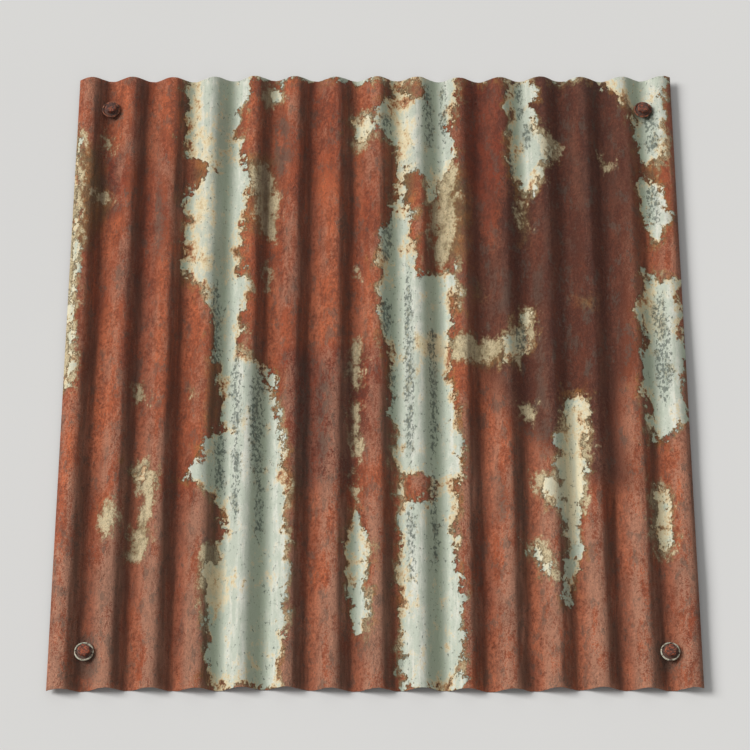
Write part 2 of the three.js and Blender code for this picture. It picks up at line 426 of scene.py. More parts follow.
# For each stain its patches as rows: how far down from the far end a row is, and then its left and its
# right outline counted from the left edge, all in corrugations.
OUTLINES: dict[Stain, tuple[Rows, ...]] = {
    Stain.PALE: (
        # the long column left of the middle, which narrows and then leans to the right
        ((-1.0, 2.6, 4.25), (0.5, 2.6, 4.2), (0.8, 2.64, 3.98), (1.5, 2.58, 3.92), (1.9, 2.7, 3.95),
         (2.1, 2.97, 4.07), (2.3, 3.25, 4.12), (2.5, 3.3, 4.3), (2.7, 2.98, 4.34), (2.9, 2.72, 4.31),
         (3.2, 2.65, 4.27), (3.7, 2.7, 4.12), (4.2, 2.63, 3.97), (4.9, 2.75, 4.02), (5.15, 2.84, 4.2),
         (5.45, 3.25, 4.25), (6.1, 3.38, 4.1), (6.6, 3.46, 4.12), (7.1, 3.52, 4.35), (7.3, 3.58, 4.8),
         (7.9, 3.66, 4.9), (8.3, 3.68, 5.0), (8.8, 3.63, 5.15), (9.0, 3.2, 5.18), (9.25, 3.32, 5.2),
         (9.5, 3.08, 5.2), (9.7, 2.84, 5.2), (9.85, 3.12, 5.22), (10.1, 3.36, 5.25),
         (10.35, 3.55, 5.28), (10.95, 3.85, 5.3), (11.45, 3.65, 5.33), (12.0, 3.42, 5.3),
         (12.7, 3.5, 5.22), (15.5, 3.6, 5.1)),
        # the wide column right of the middle, with the rust that bites into it
        ((-1.0, 7.75, 9.2), (0.3, 7.63, 9.27), (0.75, 7.55, 9.27), (0.9, 7.32, 9.1), (1.2, 7.27, 8.98),
         (1.5, 7.47, 9.03), (1.75, 7.68, 9.13), (2.1, 7.8, 9.1), (2.9, 7.75, 9.06), (3.4, 7.6, 9.28),
         (3.9, 7.37, 9.25), (4.4, 7.27, 9.1), (5.0, 7.4, 9.12), (5.4, 7.37, 9.2), (5.9, 7.27, 9.17),
         (6.35, 7.37, 9.08), (6.7, 7.55, 9.1), (7.1, 7.62, 9.08), (8.2, 7.66, 9.08), (9.1, 7.7, 9.24),
         (9.5, 7.72, 9.27), (9.8, 7.8, 9.2), (10.5, 7.85, 9.08), (11.9, 7.75, 9.14), (13.0, 7.82, 9.22),
         (15.5, 7.8, 9.15)),
        # the short column on the right
        ((-1.0, 10.6, 11.1), (0.0, 10.6, 11.1), (0.3, 10.48, 11.18), (0.75, 10.46, 11.08),
         (1.25, 10.53, 11.18), (1.5, 10.5, 11.28), (1.75, 10.5, 11.6), (2.0, 10.46, 11.63),
         (2.2, 10.52, 11.47), (2.5, 10.6, 11.32), (2.75, 10.7, 11.1), (2.95, 10.85, 10.92)),
        # down the right edge, broken by rust
        ((-1.0, 12.4, 14.42), (0.0, 12.6, 14.4), (0.2, 12.85, 14.4), (0.45, 13.25, 14.38),
         (0.8, 13.42, 14.26), (1.3, 13.48, 14.3), (1.75, 13.55, 14.26), (2.05, 13.66, 14.26),
         (2.22, 13.75, 14.05)),
        ((2.6, 13.65, 13.95), (2.75, 13.55, 14.14), (3.3, 13.63, 14.2), (3.7, 13.76, 14.4),
         (3.95, 13.8, 14.12), (4.12, 13.87, 13.97)),
        ((4.85, 13.57, 13.65), (5.1, 13.55, 13.92), (5.3, 13.53, 14.6), (5.9, 13.4, 14.6),
         (6.8, 13.55, 14.6), (7.4, 13.5, 14.6), (7.75, 13.4, 14.55), (8.1, 13.5, 14.56),
         (8.55, 13.57, 14.5), (8.75, 13.57, 13.95), (9.0, 13.6, 13.72)),
        ((9.95, 13.65, 13.8), (10.3, 13.53, 13.92), (11.1, 13.55, 14.0), (11.5, 13.62, 13.75)),
        # the streak low on the right, with the smears beside it
        ((7.85, 11.85, 12.02), (8.05, 11.62, 12.2), (8.3, 11.65, 12.17), (8.7, 11.62, 12.08),
         (9.1, 11.4, 12.08), (9.6, 11.35, 12.1), (10.0, 11.45, 12.03), (10.5, 11.45, 11.93),
         (11.2, 11.55, 11.9), (11.9, 11.5, 11.84), (12.6, 11.45, 11.62)),
        ((9.8, 11.12, 11.3), (10.1, 11.05, 11.5), (10.45, 11.25, 11.5)),
        ((11.3, 10.7, 10.86), (11.6, 10.84, 11.1), (11.95, 11.12, 11.32)),
        # the leaning smear that joins the two columns on the right
        ((5.85, 10.82, 10.95), (6.1, 10.65, 10.93), (6.5, 10.42, 10.85), (6.9, 10.25, 10.7),
         (7.1, 10.35, 10.5)),
        # low between the columns
        ((10.6, 6.76, 6.84), (10.95, 6.6, 7.02), (11.35, 6.55, 7.12), (11.8, 6.58, 7.1),
         (12.8, 6.7, 7.08), (13.4, 6.8, 6.95)),
        # along the left edge
        ((1.6, -0.3, 0.07), (3.0, -0.3, 0.12), (4.4, -0.3, 0.2), (6.0, -0.3, 0.14),
         (7.3, -0.3, 0.28), (7.7, -0.3, 0.05)),
        # dust that the next row's lap kept along the far end
        ((-1.0, 4.3, 12.5), (0.06, 4.3, 12.5)),
    ),
    Stain.BARE: (
        # rust inside the wide column
        ((0.05, 7.9, 8.3), (0.3, 7.95, 8.42), (0.52, 8.17, 8.35)),
        ((2.4, 7.9, 8.15), (2.7, 7.95, 8.42), (3.1, 8.0, 8.5), (3.45, 8.15, 8.45)),
        ((2.45, 9.05, 9.6), (2.9, 8.78, 9.6), (3.3, 8.45, 9.6), (3.5, 8.2, 9.6),
         (3.8, 8.15, 9.6), (4.35, 8.2, 9.6), (4.8, 8.25, 9.5), (5.0, 8.32, 8.75)),
        ((9.7, 7.8, 8.45), (9.95, 7.9, 8.55), (10.15, 8.0, 8.45), (10.4, 8.15, 8.3)),
        # bare along the near end and down both long edges
        ((14.43, -1.0, 16.0), (16.0, -1.0, 16.0)),
        ((-1.0, -1.0, 0.03), (16.0, -1.0, 0.03)),
        ((-1.0, 14.45, 16.0), (16.0, 14.45, 16.0)),
    ),
    Stain.MAROON: (
        # smooth dark rust
        ((-2.0, 9.2, 13.6), (3.0, 9.3, 13.6), (5.0, 9.3, 13.5), (7.0, 9.6, 13.3), (8.5, 10.3, 13.0),
         (10.0, 12.2, 13.2)),
    ),
    Stain.EMBER: (
        # fresh orange rust
        ((-0.5, 9.35, 10.4), (1.5, 9.35, 10.45), (2.6, 9.48, 10.38), (3.3, 9.7, 10.2),
         (4.3, 9.95, 9.98)),
        ((6.8, 5.0, 7.5), (8.4, 5.1, 7.4), (10.0, 5.3, 6.8)),
        ((1.9, 0.4, 1.2), (2.6, 0.3, 1.35), (3.5, 0.5, 1.2)),
        ((1.8, 2.95, 3.35), (2.3, 2.7, 3.45), (2.7, 2.75, 3.2)),
    ),
    Stain.OCHRE: (
        # ochre run-off
        ((2.3, 8.9, 9.4), (3.6, 8.9, 9.55), (4.8, 8.6, 9.5)),
        ((9.5, 5.1, 5.35), (10.0, 5.15, 5.52), (10.6, 5.2, 5.42)),
        ((6.55, 8.2, 9.3), (6.9, 8.2, 10.2), (7.2, 8.6, 10.6)),
        ((2.1, 13.68, 14.1), (2.75, 13.7, 14.1)),
        ((2.8, 10.72, 10.98), (4.2, 10.72, 10.9)),
        ((2.0, 3.9, 4.75), (2.8, 4.2, 4.8), (4.0, 4.3, 4.7)),
        ((1.7, 0.0, 0.5), (3.2, 0.05, 0.9), (4.5, 0.0, 0.45)),
        ((7.1, 3.3, 3.7), (8.6, 3.25, 3.7)),
        ((-0.5, 2.6, 3.1), (1.2, 2.6, 3.0), (1.8, 2.8, 3.4), (5.2, 2.7, 3.35)),
        ((0.1, 7.6, 8.3), (1.6, 7.6, 8.2), (2.8, 7.7, 8.3), (3.6, 7.7, 8.1)),
        ((5.2, 13.6, 14.1), (6.6, 13.5, 14.0)),
        ((11.6, 3.35, 3.85), (12.6, 3.3, 3.9)),
    ),
    Stain.FILM: (
        # what is left of the coat where it has worn thin
        ((2.25, 4.1, 4.6), (2.6, 4.15, 4.86), (3.2, 4.3, 4.94), (3.9, 4.52, 4.94),
         (4.15, 4.72, 4.92)),
        ((2.2, 8.7, 9.15), (2.8, 8.6, 9.28), (3.3, 8.58, 9.3), (3.7, 8.56, 9.24),
         (4.45, 8.56, 9.12), (4.75, 8.66, 8.98)),
        ((6.42, 8.9, 9.1), (6.6, 8.5, 10.3), (6.8, 8.25, 10.68), (6.96, 8.3, 10.5),
         (7.12, 8.55, 9.6)),
        ((5.8, 10.72, 11.02), (6.2, 10.55, 11.02), (6.7, 10.28, 10.92), (7.15, 10.28, 10.6)),
        ((9.38, 1.75, 2.06), (9.65, 1.62, 2.22), (9.95, 1.78, 2.28), (10.4, 1.95, 2.26),
         (10.8, 1.72, 2.22), (11.25, 1.58, 2.24), (11.7, 1.62, 1.98)),
        ((8.0, 11.7, 12.2), (8.3, 11.55, 12.34), (8.9, 11.52, 12.22), (9.9, 11.28, 12.22),
         (10.6, 11.38, 12.0), (11.3, 11.6, 11.8)),
        ((9.65, 10.75, 11.15), (10.05, 10.92, 11.55), (10.55, 11.2, 11.62)),
        ((11.15, 10.68, 11.0), (11.6, 10.8, 11.3), (12.15, 11.15, 11.5)),
        ((1.2, 10.95, 11.35), (1.8, 11.2, 11.76), (2.3, 11.2, 11.55), (2.75, 10.9, 11.25)),
        ((1.3, -0.3, 0.2), (4.4, -0.3, 0.34), (6.0, -0.3, 0.22), (7.8, -0.3, 0.36)),
        ((9.85, 13.52, 13.85), (10.4, 13.46, 14.02), (11.2, 13.5, 14.1), (11.65, 13.58, 13.85)),
        ((11.3, 3.3, 3.8), (12.3, 3.26, 3.95), (12.7, 3.35, 3.75)),
    ),
}

# For each stain its small lenses: the middle across and down, then half the width and half the height.
LENSES: dict[Stain, tuple[Lens, ...]] = {
    Stain.PALE: (
        # between the columns, and one small mark on the left
        (4.72, 0.42, 0.14, 0.22), (6.98, 1.32, 0.28, 0.38), (1.96, 9.7, 0.16, 0.24),
    ),
    Stain.BARE: (
        # two old nail marks in the wide column
        (8.73, 3.22, 0.08, 0.08), (8.73, 3.68, 0.08, 0.08),
    ),
    Stain.OCHRE: (
        (12.25, 5.7, 0.2, 0.14), (9.7, 5.35, 0.12, 0.2),
    ),
    Stain.FILM: (
        (4.7, 0.4, 0.26, 0.36), (4.7, 5.02, 0.14, 0.34), (6.99, 1.32, 0.38, 0.48),
        (6.8, 4.96, 0.07, 0.1), (6.84, 6.85, 0.2, 0.32), (6.81, 7.5, 0.16, 0.48),
        (6.81, 8.28, 0.16, 0.28), (6.82, 8.92, 0.18, 0.4), (6.8, 10.0, 0.1, 0.5),
        (0.77, 1.6, 0.19, 0.3), (0.6, 3.02, 0.26, 0.17), (1.78, 7.82, 0.19, 0.25),
        (3.0, 7.84, 0.11, 0.15), (1.18, 10.75, 0.27, 0.42), (10.78, 8.24, 0.2, 0.24),
        (12.84, 2.2, 0.19, 0.17), (10.78, 3.55, 0.15, 0.42),
    ),
    Stain.IRON: (
        # grey scorched streaks, and the corners
        (5.58, 8.6, 0.14, 1.6), (6.05, 8.5, 0.12, 1.1), (9.58, 11.3, 0.1, 1.2),
        (10.13, 10.2, 0.1, 0.6), (10.58, 10.0, 0.1, 1.1), (11.14, 8.2, 0.16, 1.2),
        (12.0, 4.26, 0.18, 0.3), (11.17, 5.3, 0.2, 0.5), (10.2, 5.4, 0.3, 0.6),
        (11.1, 6.75, 0.16, 0.4), (5.0, 1.7, 0.24, 0.75), (2.06, 3.6, 0.16, 1.0),
        (0.8, 0.83, 0.32, 0.34), (13.72, 0.83, 0.3, 0.34), (0.8, 13.75, 0.3, 0.4),
        (13.72, 13.75, 0.3, 0.4),
    ),
    Stain.MOULD: (
        # mould on the old coat
        (3.5, 6.45, 0.16, 1.3), (4.02, 7.9, 0.16, 0.9), (4.52, 8.5, 0.18, 1.3),
        (3.7, 9.5, 0.14, 0.8), (4.07, 9.8, 0.13, 1.1), (4.62, 10.4, 0.12, 0.9),
        (7.55, 1.25, 0.16, 0.3), (8.55, 1.0, 0.13, 0.85), (8.93, 0.9, 0.1, 0.9),
        (7.53, 4.0, 0.17, 0.7), (7.5, 6.05, 0.18, 0.5), (8.05, 7.2, 0.14, 2.6),
        (8.6, 7.9, 0.13, 1.6), (7.66, 7.75, 0.1, 0.6), (8.07, 11.2, 0.12, 1.0),
        (8.6, 10.8, 0.11, 1.15), (10.95, 1.5, 0.14, 0.4), (10.54, 2.25, 0.1, 0.3),
        (10.66, 6.45, 0.16, 0.5), (13.98, 6.7, 0.22, 1.4), (10.78, 0.55, 0.12, 0.6),
        (13.98, 1.35, 0.2, 0.6), (13.92, 3.25, 0.18, 0.55),
    ),
}


@dataclass(frozen=True)
class Patch:
    """A patch between a left and a right outline, drawn in corrugations.

    Attributes:
        rows: The rows that outline it, as the table above lists them.
        LENS: The rows of a lens, as shares of half its height and half its width.
    """

    LENS = ((-1.0, -0.3, 0.3), (-0.6, -1.0, 0.8), (0.6, -0.8, 1.0), (1.0, -0.3, 0.2))
    rows: Rows

    @classmethod
    def lens(cls, across: float, down: float, half_width: float, half_height: float) -> "Patch":
        """Draw a small lens-shaped patch round a point."""
        return cls(tuple(
            (down + row * half_height, across + left * half_width, across + right * half_width)
            for row, left, right in cls.LENS
        ))

    def depth(self, across: np.ndarray, down: np.ndarray) -> np.ndarray:
        """Measure how far inside the patch each point is.

        Args:
            across: Corrugations from the left edge.
            down: Corrugations from the far end.

        Returns:
            Corrugations to the nearest outline, below zero outside.
        """
        heights, lefts, rights = np.array(self.rows).T

        def inwards(outline: np.ndarray, side: float) -> np.ndarray:
            """Measure from one outline, square to its run."""
            lean = np.interp(down, heights, np.gradient(outline, heights))
            return side * (across - np.interp(down, heights, outline)) / np.hypot(1.0, lean)

        sides = np.minimum(inwards(lefts, 1.0), inwards(rights, -1.0))
        ends = np.minimum(down - heights[0], heights[-1] - down)
        return np.minimum(sides, ends)


# ---- Finishes ----


class WeatheredSheetFinish(Shader):
    """Rusted steel with islands of an old pale coat, and duller steel underneath.

    Attributes:
        height: Height in the wave, 0 in the valleys and 1 on the crests.
        shaded_flank: 1 on the flanks that face right, away from the lamp, where the finish paints shade.
        along: Place along the sheet.
        clouds: Broad noise.
        blotches: Middling noise.
        mottle: Small, lumpy noise.
        grain: Fine noise.
        runs: Noise drawn out along the corrugations.
        ragged: Shifts the outline of a stain.
        maroon: 1 on the smooth dark rust.
        pale_depth: Ragged depth inside the old coat, below zero on the rust.
        film_depth: Ragged depth inside what is left of the coat where it has worn thin.
        tarnish: 0 deep in the coat and 1 at its edge, over a width that varies.
    """

    NAME = "weathered_sheet"
    REFLECTION = 0.28
    BRICK = srgb(164, 84, 53)
    ORANGE = srgb(204, 110, 69)
    CINDER = srgb(92, 46, 34)
    EMBER = srgb(138, 59, 36)
    MAROON = srgb(81, 41, 28)
    PLUM = srgb(111, 59, 41)
    IRON_GREY = srgb(92, 83, 72)
    # Mauve bloom and dust, and partly a painted sheen on the crests.
    MAUVE_AND_SHEEN = srgb(180, 132, 107)
    # Soot on the pits and the underside, and the colour of the painted shade on the rust.
    SOOT_AND_SHADE = srgb(58, 35, 23)
    OCHRE = srgb(164, 112, 60)
    OLIVE = srgb(118, 102, 66)
    UMBER = srgb(138, 76, 42)
    KHAKI = srgb(154, 130, 86)
    STRAW = srgb(222, 206, 166)
    CREAM = srgb(206, 189, 150)
    CHALK = srgb(206, 206, 193)
    MINT = srgb(176, 182, 166)
    # The coat's painted shade.
    SAGE = srgb(166, 177, 154)
    SLATE = srgb(120, 132, 120)
    MOSS_BLACK = srgb(50, 60, 52)
    DULL_ZINC = srgb(128, 122, 112)

    def __init__(self, wave_height: float) -> None:
        """Start the material and lay out what its colours share.

        Args:
            wave_height: Height of the corrugations, for the shade painted in the valleys and the light
                painted on the crests.
        """
        super().__init__()
        self.height = self.attribute("wave_height") / wave_height
        self.shaded_flank = self.attribute("shaded_flank_mask")
        self.along = self.part(self.place_on_piece, "Y")
        self.clouds = self.noise(8.0, 3.0, 0.55, along=0.5, offset=7.7)
        self.blotches = self.noise(46.0, 6.0, 0.66, along=0.6, offset=1.3)
        self.mottle = self.noise(190.0, 5.0, 0.72, along=0.8, offset=2.2) * 0.62 + self.blotches * 0.38
        self.grain = self.noise(520.0, 3.0, 0.7, along=0.9, offset=9.4)
        self.runs = self.noise(95.0, 4.0, 0.65, along=0.08, offset=5.9)
        self.ragged = self.mottle.swing(0.10) + self.clouds.swing(0.05)
        self.maroon = self._stain(Stain.MAROON, self.ragged, -0.03, 0.03)
        lobes = self.noise(38.0, 6.0, 0.70, along=0.8)
        crumbs = self.noise(170.0, 4.0, 0.7, along=0.8, offset=3.1)
        coat = self.attribute(Stain.PALE.value).lowest(-self.attribute(Stain.BARE.value))
        self.pale_depth = coat + lobes.swing(0.090) + crumbs.swing(0.020)
        film = self.attribute(Stain.FILM.value)
        self.film_depth = film + self.blotches.swing(0.07) + crumbs.swing(0.045)
        reach = self.noise(15.0, 2.0, 0.5, along=0.4, offset=12.2).ramp(0.42, 0.60, 0.004, 0.026)
        self.tarnish = (1.0 - self.pale_depth / reach).highest(0.0).lowest(1.0)

    def build(self) -> bpy.types.Material:
        """Build the material.

        Returns:
            The material, for both faces of the sheet.
        """
        blotches, mottle, grain = self.blotches, self.mottle, self.grain
        weather_side = self.attribute("weather_side")
        unpitted = 1.0 - (mottle + self.tarnish * 0.10).ramp(0.655, 0.675)
        pale = self.pale_depth.ramp(-0.0014, 0.0026) * unpitted * weather_side
        colour = self.mix(weather_side, self._underside(), self.mix(pale, self._rust(), self._coat()))
        rust_gloss = grain * 0.3 + blotches * 0.2 + 0.32
        coat_gloss = blotches * 0.3 + 0.36
        roughness = rust_gloss + pale * (coat_gloss - rust_gloss)
        film = self.pale_depth.ramp(-0.0006, 0.0010) * unpitted * 0.25
        flakes = (grain * 2.4 + mottle * 10.0 + blotches * 2.0) * (1.0 - pale * 0.85)
        return self.surface(colour, roughness, pale * 0.06, film + flakes, self.REFLECTION)

    def _stain(self, stain: Stain, ragged: Wire, low: float, high: float) -> Wire:
        """Show where a stain lies, from one depth on and in full from another."""
        return (self.attribute(stain.value) + ragged).ramp(low, high)

    def _rust(self) -> Wire:
        """Colour the bare rust.

        Returns:
            The colour.
        """
        mottle, maroon, runs, height = self.mottle, self.maroon, self.runs, self.height
        tone = (mottle + self.clouds.swing(0.25)).ramp(0.41, 0.61)
        glow = self.noise(14.0, 3.0, 0.6, along=0.22, offset=15.3) + mottle.swing(0.6)
        ember = self._stain(Stain.EMBER, self.ragged, -0.02, 0.02) * 0.9
        ember = ember.highest(glow.ramp(0.50, 0.62) * (0.55 - maroon * 0.55))
        charred = (mottle * 0.6 + self.blotches * 0.4).ramp(0.44, 0.54, 0.35, 1.0)
        colour = self.coated(
            self.mix(tone, self.BRICK, self.ORANGE),
            (ember, self.mix(charred, self.CINDER, self.EMBER)),
            (maroon * (1.0 - ember) * 0.94,
             self.mix(tone * runs.ramp(0.40, 0.60, 0.25, 0.8), self.MAROON, self.PLUM)),
            *self._bloom_and_sheen(),
            *self._run_off(),
            *self._shade_pits_and_dust(),
        )
        scale = mottle.swing(2.8) + self.grain.swing(1.3) + runs.swing(0.6)
        # Painted light: the crests are made brighter. The smooth dark rust is also made darker towards the
        # far end.
        crest = height.ramp(0.25, 1.0) * 0.16 + 1.00 - maroon * self.along.ramp(0.22, 0.42) * 0.16
        return self.scaled(colour, scale * (1.0 - maroon * 0.50) + crest)

    def _bloom_and_sheen(self) -> list[Layer]:
        """Let mauve bloom, partly a painted sheen, and grey scorched streaks show on the rust.

        Returns:
            The layers.
        """
        mottle, maroon = self.mottle, self.maroon
        # More mauve towards the near end: partly fading, partly a painted sheen.
        fade_and_sheen = self.along.ramp(0.15, -0.45)
        bloom = self.noise(24.0, 4.0, 0.65, along=0.3, offset=6.1) + mottle.swing(0.9)
        bloom = bloom + self.grain.swing(0.8)
        # The mauve is heavier on the crests: partly wear, partly a painted highlight.
        mauve = (bloom + fade_and_sheen * 0.10).ramp(0.48, 0.60) * self.height.ramp(0.0, 0.7, 0.3, 1.0)
        stale = self.noise(56.0, 5.0, 0.7, along=0.5, offset=4.4) + mottle.swing(0.7)
        scorch = self._stain(Stain.IRON, self.ragged, -0.008, 0.010) * stale.ramp(0.38, 0.52)
        return [
            (mauve * (fade_and_sheen * 0.24 + 0.60 - maroon * 0.46), self.MAUVE_AND_SHEEN),
            ((stale.ramp(0.54, 0.63) * 0.55).highest(scorch * (0.72 - maroon * 0.27)), self.IRON_GREY),
        ]

    def _run_off(self) -> list[Layer]:
        """Let ochre run-off and the worn film of the coat show on the rust.

        Returns:
            The layers.
        """
        mottle, blotches = self.mottle, self.blotches
        ochre = self._stain(Stain.OCHRE, self.ragged * 0.8, -0.012, 0.02) * 0.75
        fringe = (self.pale_depth + mottle.swing(0.03)).ramp(-0.016, 0.0)
        fringe = fringe * (blotches * 0.6 + self.runs * 0.4).ramp(0.44, 0.58)
        skirt = self.noise(22.0, 3.0, 0.6, along=0.5, offset=18.1).ramp(0.42, 0.62, -0.004, 0.009)
        film = self.film_depth.highest(self.pale_depth + skirt)
        kept = film.ramp(0.0, 0.010, 0.15, 0.8) + mottle.swing(2.6) + blotches.swing(2.4)
        flecks = (mottle * 0.7 + self.grain * 0.3).ramp(0.53, 0.62) * 0.6
        worn = self.coated(self.mix(kept, self.KHAKI, self.STRAW), (flecks, self.OCHRE))
        return [
            (ochre.highest(fringe * 0.85), self.mix(blotches.ramp(0.42, 0.60), self.OLIVE, self.OCHRE)),
            (film.ramp(-0.005, 0.011) * 0.94, worn),
        ]

    def _shade_pits_and_dust(self) -> list[Layer]:
        """Paint shade on the flanks that face away from the lamp and in the valleys, darken the pits of the
        rust, and dust its fine grain.

        Returns:
            The layers.
        """
        mottle, grain, maroon = self.mottle, self.grain, self.maroon
        # Painted shade, broken up by noise: darker on the flanks turned away from the lamp and in the
        # valleys.
        shade = self.shaded_flank * 0.85 + self.height.ramp(0.4, 0.0) * 0.25
        shade = shade + self.runs.swing(2.0) + mottle.swing(1.3)
        return [
            (shade.ramp(0.20, 1.15) * (0.75 - maroon * 0.62), self.SOOT_AND_SHADE),
            ((mottle * 0.5 + grain * 0.5).ramp(0.54, 0.60) * 0.5, self.SOOT_AND_SHADE),
            ((mottle * 0.4 + grain * 0.6).ramp(0.47, 0.40) * (0.30 - maroon * 0.12), self.MAUVE_AND_SHEEN),
        ]

    def _coat(self) -> Wire:
        """Colour the old pale coat, with its stains, painted shade on the flanks away from the lamp and in
        the valleys, its rusting edge and its mould.

        Returns:
            The colour.
        """
        mottle, blotches, runs = self.mottle, self.blotches, self.runs
        # Painted shade: the coat turns to its shaded sage on the flanks away from the lamp and in the
        # valleys.
        shade = self.shaded_flank * 0.8 + self.height.ramp(0.5, 0.0) * 0.5 + runs.swing(1.2)
        worn = self.film_depth.ramp(-0.004, 0.014) * 0.75
        run_off = self._stain(Stain.OCHRE, blotches.swing(0.08), -0.01, 0.02)
        tan = self.mix(run_off * 0.55, self.STRAW, self.OCHRE)
        rusting = self.tarnish + blotches.swing(2.2) + mottle.swing(3.2) + run_off * 0.4
        colony = self._stain(Stain.MOULD, mottle.swing(0.05), -0.004, 0.008)
        spores = self.noise(215.0, 4.0, 0.64, along=0.6, offset=6.6) + colony * 0.14
        colour = self.coated(
            self.mix((blotches * 0.5 + runs * 0.5).ramp(0.44, 0.60), self.MINT, self.CHALK),
            (shade.ramp(0.1, 0.9) * 0.85, self.SAGE),
            (worn * runs.ramp(0.40, 0.60, 0.5, 1.0), tan),
            (run_off * blotches.ramp(0.40, 0.56, 0.2, 0.75), self.STRAW),
            (rusting.ramp(0.15, 0.70) * 0.9, self.CREAM),
            (rusting.ramp(0.62, 1.10) * 0.75, self.OCHRE),
            (rusting.ramp(1.00, 1.40) * 0.9, self.UMBER),
            (colony * blotches.ramp(0.40, 0.60) * 0.65, self.SLATE),
            (spores.ramp(0.60, 0.68) * 0.70, self.MOSS_BLACK),
        )
        return self.scaled(colour, self.grain.swing(0.3) + 1.0)

    def _underside(self) -> Wire:
        """Colour the sheltered face: dull zinc that rust is coming through.

        Returns:
            The colour.
        """
        mottle, blotches, runs = self.mottle, self.blotches, self.runs
        rusting = self.clouds * 0.5 + mottle * 0.6 + runs * 0.2 + self.grain.swing(0.1)
        colour = self.coated(
            self.mix(blotches.ramp(0.44, 0.60) * 0.5, self.DULL_ZINC, self.IRON_GREY),
            (rusting.ramp(0.63, 0.68) * 0.7, self.UMBER),
            (rusting.ramp(0.66, 0.70) * 0.95, self.mix(mottle.ramp(0.44, 0.58), self.CINDER, self.BRICK)),
            ((blotches * 0.4 + runs * 0.6).ramp(0.50, 0.60) * 0.35, self.SOOT_AND_SHADE),
        )
        return self.scaled(colour, self.grain.swing(0.4) + runs.swing(0.6) + 0.95)


class WasherFinish(Shader):
    """Stained zinc, pale on the rim and rusty in the groove.

    Every washer carries how pale it is, and how far from its axis each point lies.
    """

    NAME = "weathered_washer"
    RUST = srgb(150, 84, 52)
    DARK_RUST = srgb(62, 42, 34)
    ZINC = srgb(206, 200, 176)
    MINT = srgb(168, 176, 160)

    def build(self) -> bpy.types.Material:
        """Build the material.

        Returns:
            The material.
        """
        blotches = self.noise(190.0, 5.0, 0.65, offset=2.0)
        grain = self.noise(900.0, 3.0, 0.7, offset=6.0)
        crust = self.noise(450.0, 5.0, 0.72, offset=9.0)
        groove = self.attribute("radius_share").ramp(0.90, 0.70)
        stain = blotches.swing(2.2) + crust.swing(1.4) - groove * 0.5
        kept = (self.attribute("pale_share") + stain).ramp(0.34, 0.66)
        zinc = self.mix(grain.ramp(0.40, 0.62), self.MINT, self.ZINC)
        colour = self.coated(
            self.mix(blotches.ramp(0.38, 0.62), self.DARK_RUST, self.RUST),
            (kept, self.mix(crust.ramp(0.53, 0.62) * 0.7, zinc, self.RUST)),
            (groove * blotches.ramp(0.35, 0.60, 0.35, 0.85), self.DARK_RUST),
        )
        colour = self.scaled(colour, grain.swing(0.9) + crust.swing(1.2) + 1.0)
        relief = grain * 0.16 + blotches * 0.25 + crust * (1.0 - kept * 0.6) * 0.5
        return self.surface(colour, 0.78 - kept * 0.28, kept * 0.15, relief)


class RustedScrewFinish(Shader):
    """Pitted red-brown rust on the screws.

    Every screw carries how fresh its rust is.
    """

    NAME = "rusted_screw"
    DARK = srgb(60, 38, 32)
    BROWN = srgb(112, 66, 50)
    FRESH = srgb(172, 86, 52)
    WORN = srgb(150, 118, 104)

    def build(self) -> bpy.types.Material:
        """Build the material.

        Returns:
            The material.
        """
        blotches = self.noise(160.0, 5.0, 0.68, offset=4.0)
        grain = self.noise(850.0, 3.0, 0.7, offset=1.0)
        crust = self.noise(420.0, 5.0, 0.72, offset=8.0)
        freshness = blotches + crust.swing(0.8) + self.attribute("pale_share") * 0.12
        colour = self.coated(
            self.mix(blotches.ramp(0.36, 0.58), self.DARK, self.BROWN),
            (freshness.ramp(0.52, 0.66) * 0.8, self.FRESH),
            (crust.ramp(0.50, 0.42) * 0.6, self.DARK),
            (grain.ramp(0.58, 0.68) * 0.45, self.WORN),
        )
        colour = self.scaled(colour, grain.swing(1.2) + crust.swing(1.6) + 1.0)
        relief = grain * 0.22 + blotches * 0.45 + crust * 0.55
        return self.surface(colour, 0.66 + grain * 0.2, 0.1, relief)


class FloorFinish(Shader):
    """A plain pale floor."""

    NAME = "studio_floor"
    PAINT = srgb(240, 239, 236)
    SCUFFED = srgb(235, 234, 232)

    def build(self) -> bpy.types.Material:
        """Build the material, which reflects nothing."""
        colour = self.mix(self.noise(1.5, 2.0, 0.5), self.PAINT, self.SCUFFED)
        return self.surface(colour, roughness=0.9, metallic=0.0, reflection=0.0)


# ---- The rolled sheet ----


@dataclass(frozen=True)
class Dent:
    """A place where a crest was trodden down.

    Attributes:
        x: Its middle across the sheet.
        y: Its middle along the sheet.
        across: How far it reaches across.
        along: How far it reaches along.
        depth: How far the crest went down.
    """

    x: float
    y: float
    across: float
    along: float
    depth: float


